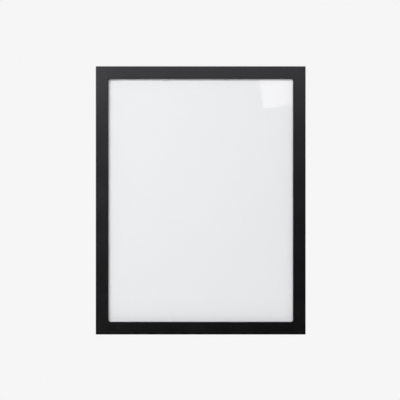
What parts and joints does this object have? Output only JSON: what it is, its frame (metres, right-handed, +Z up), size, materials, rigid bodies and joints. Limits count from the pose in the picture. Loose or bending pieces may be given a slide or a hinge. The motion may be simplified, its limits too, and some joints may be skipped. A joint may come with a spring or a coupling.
{
  "type": "poster frame",
  "caption": "Flat-faced poster frame with mitred satin black wooden rails, clear glazing over a blank white sheet, and a hardboard back held by turn buttons.",
  "frame": {"origin": "centre of the frame's outline on the plane of the wall, which the bumpers' flat faces touch", "axes": "+Z up along the long sides, +Y back into the wall, so the glazed front faces -Y"},
  "size_m": [0.274, 0.0175, 0.3502],
  "materials": {
    "frame_lacquer": "satin",
    "nail_steel": "satin",
    "clear_glazing": "polished",
    "white_paper": "matte",
    "corrugated_board": "matte",
    "hardboard": "matte",
    "zinc_plate": "satin",
    "zinc_screw": "satin",
    "hanger_brass": "satin",
    "bumper_rubber": "matte"
  },
  "bodies": {
    "frame": {"rail_top": "frame_lacquer", "rail_bottom": "frame_lacquer", "rail_left": "frame_lacquer", "rail_right": "frame_lacquer", "corner_v_nail_top_left": "nail_steel", "corner_v_nail_top_right": "nail_steel", "corner_v_nail_bottom_left": "nail_steel", "corner_v_nail_bottom_right": "nail_steel", "glazing": "clear_glazing", "insert_sheet": "white_paper", "filler_board": "corrugated_board", "backing_board": "hardboard", "button_screw_top_left": "zinc_screw", "button_screw_top_right": "zinc_screw", "button_screw_bottom_left": "zinc_screw", "button_screw_bottom_right": "zinc_screw", "button_screw_left_upper": "zinc_screw", "button_screw_left_lower": "zinc_screw", "button_screw_right_upper": "zinc_screw", "button_screw_right_lower": "zinc_screw", "sawtooth_hanger_top": "hanger_brass", "sawtooth_hanger_left": "hanger_brass", "hanger_nail_top_left": "hanger_brass", "hanger_nail_top_right": "hanger_brass", "hanger_nail_left_upper": "hanger_brass", "hanger_nail_left_lower": "hanger_brass", "wall_bumper_top_left": "bumper_rubber", "wall_bumper_top_right": "bumper_rubber", "wall_bumper_bottom_left": "bumper_rubber", "wall_bumper_bottom_right": "bumper_rubber"},
    "button_top_left": {"turn_button_top_left": "zinc_plate"},
    "button_top_right": {"turn_button_top_right": "zinc_plate"},
    "button_bottom_left": {"turn_button_bottom_left": "zinc_plate"},
    "button_bottom_right": {"turn_button_bottom_right": "zinc_plate"},
    "button_left_upper": {"turn_button_left_upper": "zinc_plate"},
    "button_left_lower": {"turn_button_left_lower": "zinc_plate"},
    "button_right_upper": {"turn_button_right_upper": "zinc_plate"},
    "button_right_lower": {"turn_button_right_lower": "zinc_plate"}
  },
  "joints": [
    {"name": "turn_top_left", "type": "hinge", "parent": "frame", "child": "button_top_left", "pos_m": [-0.066, -0.0027, 0.1705], "axis": [0, 1, 0], "range_deg": [-90, 90]},
    {"name": "turn_top_right", "type": "hinge", "parent": "frame", "child": "button_top_right", "pos_m": [0.066, -0.0027, 0.1705], "axis": [0, 1, 0], "range_deg": [-90, 90]},
    {"name": "turn_bottom_left", "type": "hinge", "parent": "frame", "child": "button_bottom_left", "pos_m": [-0.066, -0.0027, -0.1705], "axis": [0, 1, 0], "range_deg": [-90, 90]},
    {"name": "turn_bottom_right", "type": "hinge", "parent": "frame", "child": "button_bottom_right", "pos_m": [0.066, -0.0027, -0.1705], "axis": [0, 1, 0], "range_deg": [-90, 90]},
    {"name": "turn_left_upper", "type": "hinge", "parent": "frame", "child": "button_left_upper", "pos_m": [-0.1324, -0.0027, 0.098], "axis": [0, 1, 0], "range_deg": [-90, 90]},
    {"name": "turn_left_lower", "type": "hinge", "parent": "frame", "child": "button_left_lower", "pos_m": [-0.1324, -0.0027, -0.098], "axis": [0, 1, 0], "range_deg": [-90, 90]},
    {"name": "turn_right_upper", "type": "hinge", "parent": "frame", "child": "button_right_upper", "pos_m": [0.1324, -0.0027, 0.098], "axis": [0, 1, 0], "range_deg": [-90, 90]},
    {"name": "turn_right_lower", "type": "hinge", "parent": "frame", "child": "button_right_lower", "pos_m": [0.1324, -0.0027, -0.098], "axis": [0, 1, 0], "range_deg": [-90, 90]}
  ]
}
